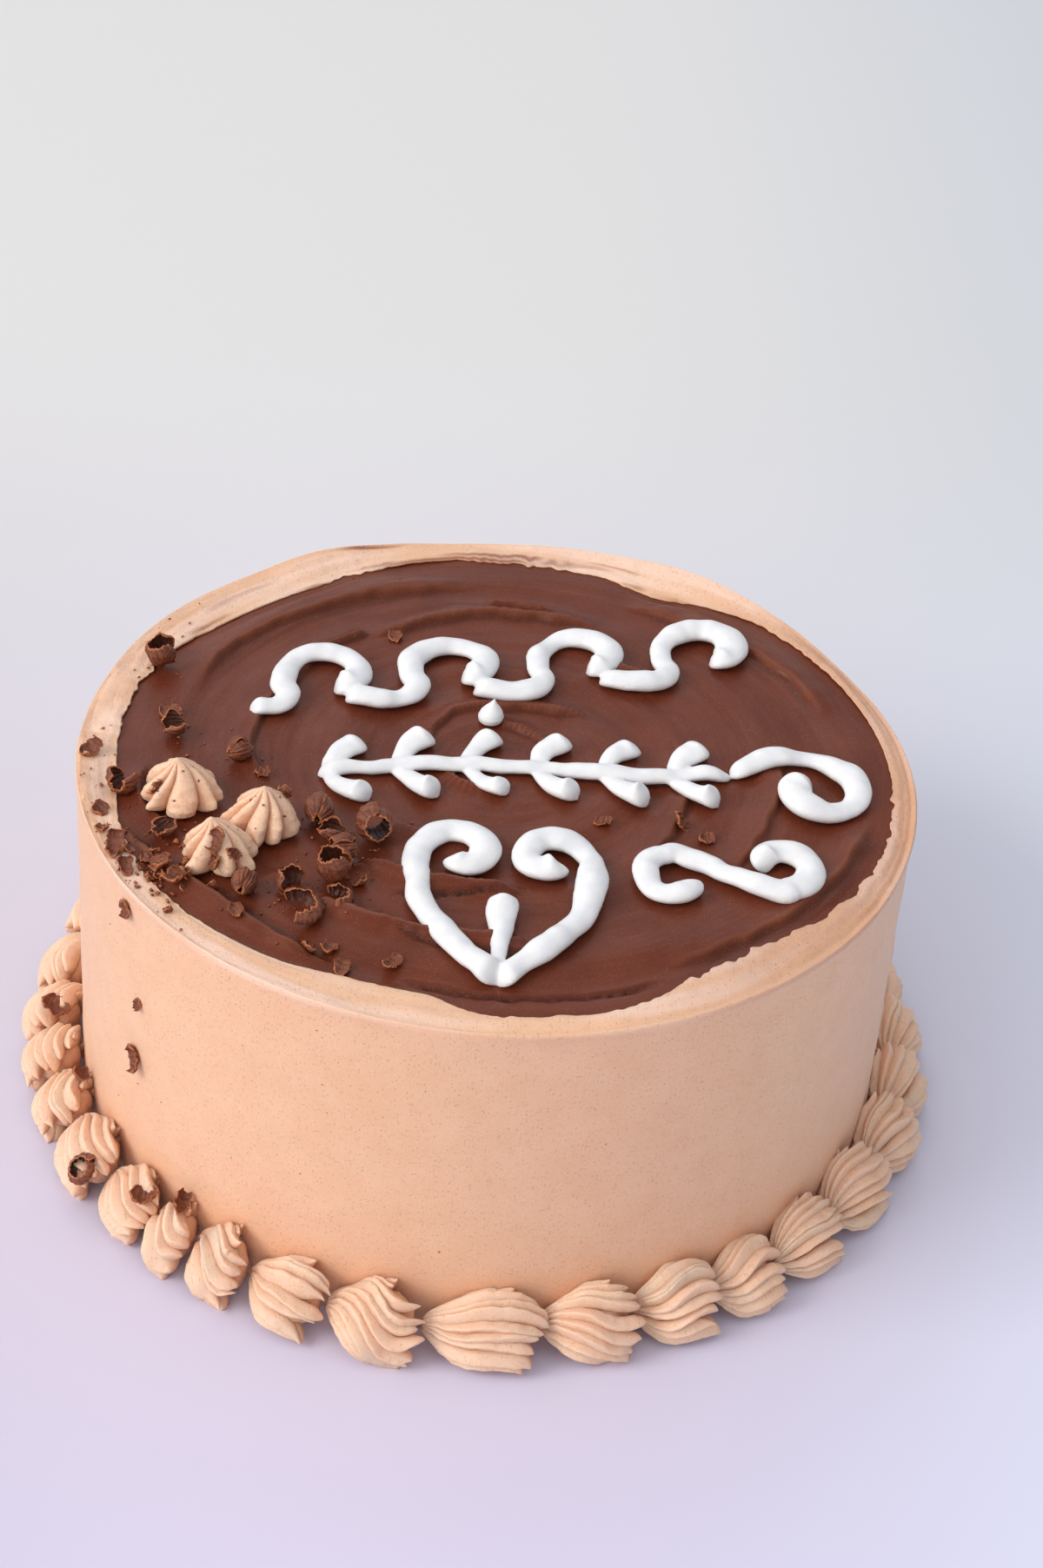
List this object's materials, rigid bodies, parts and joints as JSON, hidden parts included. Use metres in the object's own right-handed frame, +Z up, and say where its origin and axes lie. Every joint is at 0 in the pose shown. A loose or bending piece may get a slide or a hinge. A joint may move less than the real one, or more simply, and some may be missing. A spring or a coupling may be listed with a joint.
{
  "type": "layer cake",
  "caption": "Tall round iced layer cake with dark ganache on top, a piped border at its foot, piped stars, chocolate curls and white piped scrollwork.",
  "frame": {"origin": "centre of the cake's foot, on the surface that it stands on", "axes": "+Z up through the cake's middle; -Y towards the viewer, with the piped stars on the -X -Y side of the top"},
  "size_m": [0.2459, 0.2462, 0.1101],
  "materials": {
    "buttercream": "smooth light chocolate buttercream, satin, with fine dark specks",
    "piped_buttercream": "piped light chocolate buttercream, soft satin ridges",
    "ganache": "spread dark chocolate ganache with a soft sheen",
    "white_icing": "glossy white piped icing",
    "chocolate": "rough shaved chocolate, paler along torn edges"
  },
  "bodies": {
    "root": {"cake": "buttercream", "ganache": "ganache", "star_1": "piped_buttercream", "star_2": "piped_buttercream", "star_3": "piped_buttercream", "border_01": "piped_buttercream", "border_02": "piped_buttercream", "border_03": "piped_buttercream", "border_04": "piped_buttercream", "border_05": "piped_buttercream", "border_06": "piped_buttercream", "border_07": "piped_buttercream", "border_08": "piped_buttercream", "border_09": "piped_buttercream", "border_10": "piped_buttercream", "border_11": "piped_buttercream", "border_12": "piped_buttercream", "border_13": "piped_buttercream", "border_14": "piped_buttercream", "border_15": "piped_buttercream", "border_16": "piped_buttercream", "border_17": "piped_buttercream", "border_18": "piped_buttercream", "border_19": "piped_buttercream", "border_20": "piped_buttercream", "border_21": "piped_buttercream", "border_22": "piped_buttercream", "border_23": "piped_buttercream", "border_24": "piped_buttercream", "border_25": "piped_buttercream", "border_26": "piped_buttercream", "border_27": "piped_buttercream", "border_28": "piped_buttercream", "border_29": "piped_buttercream", "border_30": "piped_buttercream", "border_31": "piped_buttercream", "border_32": "piped_buttercream", "border_33": "piped_buttercream", "scroll_upper": "white_icing", "scroll_middle": "white_icing", "scroll_right": "white_icing", "scroll_heart": "white_icing", "bead": "white_icing", "curl_rim": "chocolate", "curl_left_back": "chocolate", "curl_star_left": "chocolate", "curl_behind_stars": "chocolate", "curl_upright": "chocolate", "curl_clump": "chocolate", "curl_open": "chocolate", "curl_barrel": "chocolate", "curl_cup": "chocolate", "curl_hook": "chocolate", "curl_standing": "chocolate", "curl_large": "chocolate", "curl_seed": "chocolate", "curl_slab": "chocolate", "curl_border": "chocolate"}
  },
  "joints": []
}
